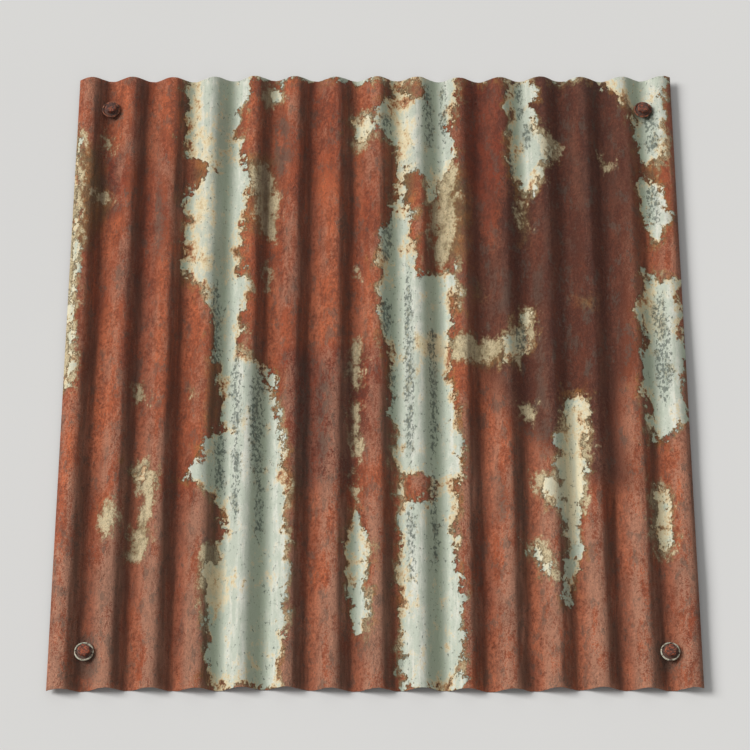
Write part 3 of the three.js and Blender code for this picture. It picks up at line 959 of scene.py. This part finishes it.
@dataclass
class CorrugatedSheet:
    """The sheet itself, rolled from a flat grid by a geometry node tree.

    Attributes:
        left_lap: Corrugations from the left edge to the first crest.
        end_waves: Swings of each hand-cut end over the sheet's width.
        far_bites: Moves the bites of the far end, so that the ends don't match.
        held_flat: Distances from a screw between which the bowing sets in.
        shown_rows: Corrugations' worth of the length over which the stains are listed.
        steepest: How far sideways the normal leans on a flank.
        crease: Edges that turn by more degrees than this stay sharp.
    """

    fixings: "CornerFixings"
    pitch: float = 0.0762
    depth: float = 0.018
    flank: float = 0.018
    thickness: float = 0.0008
    left_lap: float = 0.3
    end_wander: float = 0.004
    end_waves: tuple[float, float] = (1.6, 4.3)
    bite_depth: float = 0.0014
    bite_scale: float = 55.0
    far_bites: float = 9.0
    bow: float = 0.0012
    bow_scale: float = 3.2
    held_flat: tuple[float, float] = (0.04, 0.16)
    hole_radius: float = 0.005
    hole_sides: int = 28
    cutter_height: float = 0.08
    edge_margin: float = 0.0003
    columns_in_pitch: int = 26
    row_spacing: float = 0.0122
    weld_distance: float = 1e-5
    end_seed: float = 4.0
    bow_seed: float = 5.0
    shown_rows: float = 14.5
    steepest: float = 0.58
    crease: float = 50.0
    dents: tuple[Dent, ...] = (
        Dent(-0.335, 0.31, 0.07, 0.10, 0.0030),
        Dent(0.125, -0.23, 0.09, 0.07, 0.0026),
        Dent(0.352, 0.12, 0.06, 0.13, 0.0030),
        Dent(-0.105, -0.47, 0.08, 0.06, 0.0022),
        Dent(-0.255, -0.16, 0.05, 0.15, 0.0018),
        Dent(0.276, -0.50, 0.06, 0.08, 0.0026),
    )
    box: tuple = field(default_factory=lambda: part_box("sheet"))

    @property
    def width(self) -> float:
        """Width over both edges."""
        return self.box[1][0] - self.box[0][0]

    @property
    def length(self) -> float:
        """Length over both ends."""
        return self.box[1][1] - self.box[0][1]

    def build(self) -> bpy.types.Object:
        """Roll, trim, drill and finish the sheet.

        Returns:
            The finished piece.
        """
        tree = Growth("rolled_sheet")
        thickness, hole_radius = tree.sizes(thickness=self.thickness, hole_radius=self.hole_radius)
        shell = self._with_thickness(tree, self._waved_grid(tree, thickness), thickness)
        drill = {"Vertices": self.hole_sides, "Radius": hole_radius, "Depth": self.cutter_height}
        cutter = tree.node("GeometryNodeMeshCylinder", drill, output="Mesh")
        cutters = tree.node("GeometryNodeInstanceOnPoints", {"Points": tree.base(), "Instance": cutter})
        cutters = tree.node("GeometryNodeRealizeInstances", {"Geometry": cutters})
        sockets = {"Mesh 1": shell, "Mesh 2": cutters}
        drilled = tree.node("GeometryNodeMeshBoolean", sockets, operation="DIFFERENCE", solver="MANIFOLD")
        finish = WeatheredSheetFinish(self.depth + self.thickness).build()
        points = self.fixings.points("sheet_fixing_points")
        piece = tree.grow(drilled, finish, points, "weathered_sheet", self.crease)
        self._write_layers(piece.data)
        return piece

    def _waved_grid(self, tree: Growth, thickness: Wire) -> Wire:
        """Lay a flat grid and bend it into the middle surface of the sheet.

        Args:
            tree: The tree to build in.
            thickness: Thickness of the steel.

        Returns:
            The bent surface.
        """
        width, length, depth = tree.sizes(width=self.width, length=self.length, depth=self.depth)
        columns = round(self.width / self.pitch * self.columns_in_pitch)
        flat = {
            "Size X": width - 2 * self.edge_margin,
            "Size Y": length - 2 * self.edge_margin,
            "Vertices X": tree.setting("columns", "Int", columns),
            "Vertices Y": tree.setting("rows", "Int", round(self.length / self.row_spacing)),
        }
        grid = tree.node("GeometryNodeMeshGrid", flat, output="Mesh")
        place = tree.node("GeometryNodeInputPosition")
        x = tree.part(place, "X")
        y = self._trimmed_y(tree, x, tree.part(place, "Y"), width, length)
        rolled = self._rolled_height(tree, x + width / 2.0, depth)
        crest_share = (rolled / depth).ramp(0.15, 0.95)
        rise = self._bowing(tree, x, y) - crest_share * self._trodden(tree, x, y)
        bent = tree.vector(x, y, rolled + thickness / 2.0 + rise)
        return tree.node("GeometryNodeSetPosition", {"Geometry": grid, "Position": bent})

    def _rolled_height(self, tree: Growth, from_left: Wire, depth: Wire) -> Wire:
        """Work out the section: equal bends joined by straight flanks.

        Args:
            tree: The tree to build in.
            from_left: Distance from the left edge.
            depth: Depth of the wave.

        Returns:
            Height of the middle of the steel over its lowest place.
        """
        pitch, flank, left_lap = tree.sizes(pitch=self.pitch, flank=self.flank, left_lap=self.left_lap)
        half_flank = flank / 2.0
        quarter = pitch / 4.0
        half_depth = depth / 2.0
        radius = (quarter * quarter + half_depth * half_depth - half_flank * half_flank) / depth
        chord_angle = quarter.math("ARCTAN2", radius - half_depth)
        flank_angle = chord_angle - half_flank.math("ARCTAN2", radius)

        turns = from_left / pitch - left_lap
        from_crest = abs((turns + 0.5).math("FRACT") - 0.5) * pitch
        from_bend = quarter - abs(from_crest - quarter)
        side = (quarter - from_crest).math("SIGN")
        arc = (radius * radius - from_bend * from_bend).highest(0.0).math("SQRT") + half_depth - radius
        straight = (quarter - from_bend) * flank_angle.math("TANGENT")
        is_in_bend = from_bend.math("LESS_THAN", radius * flank_angle.math("SINE"))
        return side * (straight + is_in_bend * (arc - straight)) + half_depth

    def _trimmed_y(self, tree: Growth, x: Wire, y: Wire, width: Wire, length: Wire) -> Wire:
        """Draw the grid's rows to the two hand-cut ends.

        Args:
            tree: The tree to build in.
            x: Place across the sheet.
            y: Place along the flat grid.
            width: The sheet's width.
            length: The sheet's length.

        Returns:
            The new place along the sheet.
        """
        wander, bite_depth, seed = tree.sizes(
            end_wander=self.end_wander, bite_depth=self.bite_depth, end_seed=self.end_seed
        )

        def inset(share: Wire, bites: float) -> Wire:
            """Measure how far one end strays inwards, with its small rusted bites.

            Args:
                share: Share of the width, from the end's own left.
                bites: Moves the pattern of the bites.

            Returns:
                The distance from the sheet's full length.
            """
            slow, quick = [(share * (2 * math.pi * waves)).math("COSINE") for waves in self.end_waves]
            noise = tree.noise(tree.vector(x, bites, seed), self.bite_scale, 4.0, 0.7)
            return wander * (1.0 - (slow + quick) / 2.0) / 2.0 + bite_depth * noise.ramp(0.45, 0.75)

        across = x / width + 0.5
        near = inset(across, 0.0) - length / 2.0
        far = length / 2.0 - inset(1.0 - across, self.far_bites)
        return near + (y / length + 0.5) * (far - near)

    def _bowing(self, tree: Growth, x: Wire, y: Wire) -> Wire:
        """Raise the sheet a little here and there, but not where a screw holds it down.

        Args:
            tree: The tree to build in.
            x: Place across the sheet.
            y: Place along the sheet.

        Returns:
            The rise.
        """
        bow, seed = tree.sizes(bow=self.bow, bow_seed=self.bow_seed)
        swell = tree.noise(tree.vector(x, y, seed), self.bow_scale, 2.0, 0.5)
        sockets = {0: tree.base(), "Sample Position": tree.vector(x, y, self.fixings.floor_level)}
        from_screw = tree.node(
            "GeometryNodeProximity", sockets, output="Distance", target_element="POINTS"
        )
        return bow * swell.ramp(0.35, 0.72) * from_screw.ramp(*self.held_flat)

    def _trodden(self, tree: Growth, x: Wire, y: Wire) -> Wire:
        """Add up how far the dents press the crests down.

        Args:
            tree: The tree to build in.
            x: Place across the sheet.
            y: Place along the sheet.

        Returns:
            The depth of all dents together.
        """
        total: SocketValue = 0.0
        for dent in self.dents:
            across = (x - dent.x) / dent.across
            along = (y - dent.y) / dent.along
            total = (across * across + along * along).ramp(1.0, 0.0) * dent.depth + total
        return total

    def _with_thickness(self, tree: Growth, middle: Wire, thickness: Wire) -> Wire:
        """Give the middle surface the thickness of the steel.

        Args:
            tree: The tree to build in.
            middle: The middle surface.
            thickness: Thickness of the steel.

        Returns:
            A closed shell.
        """
        down = tree.scaled(tree.node("GeometryNodeInputNormal"), thickness / -2.0)
        lower = tree.node("GeometryNodeSetPosition", {"Geometry": middle, "Offset": down})
        upwards = {"Mesh": lower, "Offset Scale": thickness, "Individual": False}
        upper = tree.node("GeometryNodeExtrudeMesh", upwards, mode="FACES")
        joined = tree.place("GeometryNodeJoinGeometry", {"Geometry": upper})
        underside = tree.node("GeometryNodeFlipFaces", {"Mesh": lower})
        tree.tree.links.new(underside.socket, joined.inputs[0])
        whole = {"Geometry": Wire(tree, joined.outputs[0]), "Distance": self.weld_distance}
        return tree.node("GeometryNodeMergeByDistance", whole)

    def _write_layers(self, mesh: bpy.types.Mesh) -> None:
        """Write what the sheet's finish reads: its faces, and how deep each point lies in each stain.

        Args:
            mesh: The sheet's mesh.
        """
        x, y, z = read_vectors(mesh.vertices, "co")
        sideways, _, up = read_vectors(mesh.vertex_normals, "vector")
        write_layer(mesh, "wave_height", z)
        write_layer(mesh, "weather_side", up > 0)
        # The flanks that face right turn away from the lamp; the finish paints shade on them with this
        # layer.
        write_layer(mesh, "shaded_flank_mask", np.clip(sideways / self.steepest, 0, 1))
        across = (x - self.box[0][0]) / self.pitch
        down = (self.box[1][1] - y) / self.length * self.shown_rows
        for stain in Stain:
            patches = [Patch(rows) for rows in OUTLINES.get(stain, ())]
            patches += [Patch.lens(*place) for place in LENSES.get(stain, ())]
            depths = [patch.depth(across, down) for patch in patches]
            write_layer(mesh, stain.value, np.max(depths, axis=0) * self.pitch)

    def dress(self, piece: bpy.types.Object) -> None:
        """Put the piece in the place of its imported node.

        Args:
            piece: The finished sheet.
        """
        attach(piece, "root")
        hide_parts("sheet")


# ---- The screws and washers ----


@dataclass(frozen=True)
class Station:
    """One ring of a turned form, in metres.

    Attributes:
        radius: Its radius, or half the distance across the flats where it is a hexagon.
        height: Its height.
        hexagon: 0 for a circle, 1 for a hexagon.
        chamfer: How fast the ring falls where it lies outside its own radius.
    """

    radius: float
    height: float
    hexagon: float = 0.0
    chamfer: float = 0.0


@dataclass(frozen=True)
class TurnedForm:
    """A closed form turned about Z, from a run of rings that goes up the outside.

    Attributes:
        stations: The rings, in order.
        is_ring: Whether the last ring joins the first, around a bore.
        sides: Corners in a ring.
        corner_reach: Reach of a hexagon's worn corners, over half its width.
    """

    stations: Sequence[Station]
    is_ring: bool
    sides: int = 72
    corner_reach: float = 1.13

    def mesh(self, name: str) -> bpy.types.Mesh:
        """Make the mesh, with each point's share of the greatest radius.

        Args:
            name: The mesh's name.

        Returns:
            The mesh.
        """
        angles = np.arange(self.sides) * 2 * math.pi / self.sides
        sixth = math.pi / 3
        corner = 1 / np.cos((angles + sixth / 2) % sixth - sixth / 2)
        corner = np.minimum(corner, self.corner_reach)
        rings = []
        for station in self.stations:
            reach = station.radius * (1 + station.hexagon * (corner - 1))
            drop = (reach - station.radius) * station.chamfer
            rings.append(np.stack([reach * np.cos(angles), reach * np.sin(angles), station.height - drop]))
        points = np.concatenate(rings, axis=1).T
        mesh = bpy.data.meshes.new(name)
        mesh.from_pydata(points.tolist(), [], self._faces())
        widest = max(station.radius for station in self.stations)
        write_layer(mesh, "radius_share", np.hypot(points[:, 0], points[:, 1]) / widest)
        return mesh

    def _faces(self) -> list[tuple[int, ...]]:
        """Join the rings.

        Returns:
            The corners of each face.
        """
        count = len(self.stations)
        faces: list[tuple[int, ...]] = []
        for ring in range(count if self.is_ring else count - 1):
            lower = ring * self.sides
            upper = (ring + 1) % count * self.sides
            for side in range(self.sides):
                beside = (side + 1) % self.sides
                faces.append((lower + side, lower + beside, upper + beside, upper + side))
        if not self.is_ring:
            faces.append(tuple(reversed(range(self.sides))))
            faces.append(tuple(range((count - 1) * self.sides, count * self.sides)))
        return faces


@dataclass
class CornerFixings:
    """The four washers and the four screws that stand in them.

    Attributes:
        turns: How far each fixing is turned, in degrees.
        pale_shares: How pale each washer is and how fresh each screw's rust.
        shank_end: Height of the shank's worn end over the floor.
        chamfer_slope: Fall of the head's chamfer.
        pitting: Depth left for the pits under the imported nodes' faces.
        pit_swing: How far the pits' noise pushes a face, over that depth.
        crease: Edges that turn by more degrees than this stay sharp.
    """

    corners: tuple[str, ...] = ("near_left", "near_right", "far_left", "far_right")
    turns: tuple[float, ...] = (12.0, 41.0, 27.0, 3.0)
    pale_shares: tuple[float, ...] = (0.72, 0.64, 0.16, 0.02)
    floor_level: float = 0.0
    shank_radius: float = 0.004
    shank_end: float = 0.0003
    thread_pitch: float = 0.00125
    thread_depth: float = 0.0006
    bore_radius: float = 0.0045
    washer_thickness: float = 0.002
    washer_dish: float = 0.002
    rim_radius: float = 0.0017
    rim_steps: int = 10
    head_across_flats: float = 0.019
    head_height: float = 0.008
    chamfer_slope: float = math.tan(math.radians(30))
    pitting: float = 0.00022
    pit_scale: float = 420.0
    pit_swing: float = 1.6
    pit_stir: float = 0.2
    crease: float = 38.0

    def points(self, name: str) -> bpy.types.Mesh:
        """Make a point on the floor under each fixing.

        Args:
            name: The mesh's name.

        Returns:
            A mesh of loose points, with how far each fixing is turned and how pale it is.
        """
        middles = []
        for corner in self.corners:
            low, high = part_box(f"washer_{corner}")
            middles.append(((low[0] + high[0]) / 2, (low[1] + high[1]) / 2, self.floor_level))
        mesh = bpy.data.meshes.new(name)
        mesh.from_pydata(middles, [], [])
        write_layer(mesh, "turn", np.radians(self.turns))
        write_layer(mesh, "pale_share", self.pale_shares)
        return mesh

    def washer_form(self) -> TurnedForm:
        """Draw the dished washer with its rolled rim.

        Returns:
            The washer, at its height over the floor.
        """
        low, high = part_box(f"washer_{self.corners[0]}")
        radius = (high[0] - low[0]) / 2 - self.pitting
        bore, dish, thick = self.bore_radius, self.washer_dish, self.washer_thickness
        base = low[2] + self.pitting / 2
        bead = self.rim_radius - self.pitting / 2
        middle = radius - bead
        arc = [math.pi * step / self.rim_steps for step in range(self.rim_steps + 1)]
        inner_top = base + dish + thick - self.pitting
        stations = [
            # the underside, from the bore out to the rim
            Station(bore, base + dish),
            Station(bore + 0.0025, base + 0.8 * dish),
            Station(middle - 1.6 * bead, base + 0.25 * dish),
            Station(middle - 0.7 * bead, base + 0.0001),
            Station(middle + 0.5 * bead, base),
            Station(radius - 0.0002, base + 0.3 * bead),
            # the bead, and the groove inside it
            *[Station(middle + bead * math.cos(a), base + bead * (1 + math.sin(a))) for a in arc],
            Station(middle - 1.35 * bead, base + 0.95 * bead),
            Station(middle - 1.9 * bead, base + 1.35 * bead),
            # the dish, up to the bore's worn edge
            Station((bore + middle) / 2, base + dish * 0.7 + thick * 0.8),
            Station(bore + 0.0012, inner_top),
            Station(bore + 0.0003, inner_top - 0.0001),
            Station(bore, inner_top - 0.0005),
        ]
        return TurnedForm(stations, is_ring=True)

    def screw_form(self) -> TurnedForm:
        """Draw the hexagon-headed screw, from the end of its shank to the top of its head.

        Returns:
            The screw, at its height over the floor.
        """
        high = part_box(f"screw_{self.corners[0]}")[1]
        top = high[2] - self.pitting
        seat = high[2] - self.head_height + self.pitting
        flat = self.head_across_flats / 2 - self.pitting / 2
        shank, end, slope = self.shank_radius, self.shank_end, self.chamfer_slope
        stations = [
            Station(shank - 0.0008, end + self.pitting),
            Station(shank - 0.0001, end + self.pitting + 0.0004),
        ]
        threads = int((seat - end) / self.thread_pitch) - 1
        for thread in range(1, threads):
            height = end + thread * self.thread_pitch
            stations.append(Station(shank - self.thread_depth, height))
            stations.append(Station(shank - 0.0001, height + self.thread_pitch / 2))
        stations += [
            # the head's seat and its six flats
            Station(shank - 0.0002, seat),
            Station(flat * 0.93, seat),
            Station(flat * 0.985, seat + 0.0003, hexagon=0.6),
            Station(flat, seat + 0.0009, hexagon=1.0),
            Station(flat, seat + 0.45 * self.head_height, hexagon=1.0),
            # the chamfer, rounded over into the top
            Station(flat, top - 0.0009, hexagon=1.0, chamfer=slope),
            Station(flat * 0.985, top - 0.0004, hexagon=1.0, chamfer=slope),
            Station(flat * 0.93, top - 0.00012),
            Station(flat * 0.86, top),
            Station(flat * 0.55, top - 0.0001),
            Station(flat * 0.22, top - 0.00015),
        ]
        return TurnedForm(stations, is_ring=False)

    def build(self, form: TurnedForm, finish: bpy.types.Material, name: str) -> bpy.types.Object:
        """Stand a form at each corner, pit its surface and finish it.

        Args:
            form: The washer or the screw.
            finish: Its material.
            name: The name of the joined piece.

        Returns:
            The four together, as one piece.
        """
        pattern = add_object(f"{name}_pattern", form.mesh(f"{name}_pattern"))
        tree = Growth(name)
        source = tree.node(
            "GeometryNodeObjectInfo",
            {"Object": tree.setting("pattern", "Object", pattern)},
            output="Geometry",
            transform_space="ORIGINAL",
        )
        turn = tree.node("GeometryNodeInputNamedAttribute", {"Name": "turn"}, data_type="FLOAT")
        sockets = {"Points": tree.base(), "Instance": source, "Rotation": tree.vector(0.0, 0.0, turn)}
        placed = tree.node("GeometryNodeInstanceOnPoints", sockets)
        solid = tree.node("GeometryNodeRealizeInstances", {"Geometry": placed})
        scale, stir, pitting = tree.sizes(
            pit_scale=self.pit_scale, pit_stir=self.pit_stir, pitting=self.pitting * self.pit_swing
        )
        pits = tree.noise(tree.node("GeometryNodeInputPosition"), scale, 3.0, 0.6, stir)
        push = tree.scaled(tree.node("GeometryNodeInputNormal"), (pits - 0.5) * pitting)
        rough = tree.node("GeometryNodeSetPosition", {"Geometry": solid, "Offset": push})
        piece = tree.grow(rough, finish, self.points(f"{name}_points"), name, self.crease)
        bpy.data.objects.remove(pattern)
        return piece

    def dress(self, piece: bpy.types.Object, part: str, slot: str) -> None:
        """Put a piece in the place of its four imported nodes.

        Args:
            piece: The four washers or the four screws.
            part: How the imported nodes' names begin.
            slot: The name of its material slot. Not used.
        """
        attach(piece, "root")
        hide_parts(*[f"{part}_{corner}" for corner in self.corners])


# ---- The studio ----


@dataclass
class Studio:
    """A pale floor, soft light from the left, and a camera that looks down on the sheet.

    Attributes:
        sky_strength: Light from all round. What the camera sees of it is white.
        key_level: Light that the key lamp gives a face turned to it.
        key_turn: Degrees that the lamp stands behind the sheet's left side.
        key_softness: The lamp's width in the sky, in degrees.
    """

    floor_size: float = 30.0
    sky_strength: float = 0.32
    key_level: float = 0.91
    key_elevation: float = 32.2
    key_turn: float = 14.0
    key_softness: float = 25.0
    camera_elevation: float = 63.0
    camera_distance: float = 5.0
    lens: float = 135.0
    aim: tuple[float, float, float] = (0.0, -0.01, 0.0)

    def build(self) -> None:
        """Set the floor, the sky, the lamp and the camera."""
        self._floor()
        self._sky()
        self._key()
        self._camera()
        bpy.context.scene.view_settings.view_transform = "Standard"

    def _floor(self) -> None:
        """Lay the floor."""
        half = self.floor_size / 2
        mesh = bpy.data.meshes.new("studio_floor")
        corners = [(-half, -half, 0.0), (half, -half, 0.0), (half, half, 0.0), (-half, half, 0.0)]
        mesh.from_pydata(corners, [], [(0, 1, 2, 3)])
        mesh.materials.append(FloorFinish().build())
        add_object("studio_floor", mesh)

    def _sky(self) -> None:
        """Light everything evenly from all round, and show white where the camera sees past the floor."""
        world = bpy.data.worlds.new("studio_sky")
        world.use_nodes = True
        canvas = NodeCanvas(world.node_tree)
        camera_ray, glossy_ray = [
            canvas.node("ShaderNodeLightPath", output=f"Is {kind} Ray") for kind in ("Camera", "Glossy")
        ]
        strength = camera_ray.highest(glossy_ray) * (1.0 - self.sky_strength) + self.sky_strength
        light = canvas.node("ShaderNodeBackground", {"Color": (1.0, 1.0, 1.0, 1.0), "Strength": strength})
        canvas.place("ShaderNodeOutputWorld", {"Surface": light})
        bpy.context.scene.world = world

    def _key(self) -> None:
        """Hang the soft key light high on the left. It is as strong all over the floor."""
        lamp = bpy.data.lights.new("key_light", "SUN")
        lamp.angle = math.radians(self.key_softness)
        lamp.energy = math.pi * self.key_level
        elevation = math.radians(self.key_elevation)
        turn = math.radians(self.key_turn)
        reach = math.cos(elevation)
        place = (-reach * math.cos(turn), reach * math.sin(turn), math.sin(elevation))
        self._stand(add_object("key_light", lamp), place, (0.0, 0.0, 0.0))

    def _camera(self) -> None:
        """Stand the camera over the near end, looking down."""
        camera = bpy.data.cameras.new("camera")
        camera.lens = self.lens
        elevation = math.radians(self.camera_elevation)
        x, y, z = self.aim
        back = self.camera_distance * math.cos(elevation)
        up = self.camera_distance * math.sin(elevation)
        holder = add_object("camera", camera)
        self._stand(holder, (x, y - back, z + up), self.aim)
        bpy.context.scene.camera = holder

    @staticmethod
    def _stand(
        holder: bpy.types.Object, place: tuple[float, float, float], aim: tuple[float, float, float]
    ) -> None:
        """Put an object in its place and turn it so that it looks at a point.

        Args:
            holder: The lamp or the camera.
            place: Where it stands.
            aim: The point.
        """
        holder.location = place
        away = Vector(place) - Vector(aim)
        holder.rotation_euler = away.to_track_quat("Z", "Y").to_euler()


def report(piece: bpy.types.Object) -> None:
    """Say how many faces a finished piece has."""
    LOG.info("%s: %d faces", piece.name, len(piece.data.polygons))


def main() -> None:
    """Build the pieces in order and report each one."""
    logging.basicConfig(level=logging.INFO, format="%(name)s: %(message)s")
    fixings = CornerFixings()
    sheet = CorrugatedSheet(fixings)
    sheet_piece = sheet.build()
    sheet.dress(sheet_piece)
    report(sheet_piece)
    washers = fixings.build(fixings.washer_form(), WasherFinish().build(), "dished_washers")
    fixings.dress(washers, "washer", "weathered_washer")
    report(washers)
    screws = fixings.build(fixings.screw_form(), RustedScrewFinish().build(), "rusted_screws")
    fixings.dress(screws, "screw", "rusted_screw")
    report(screws)
    Studio().build()


if __name__ == "__main__":
    main()
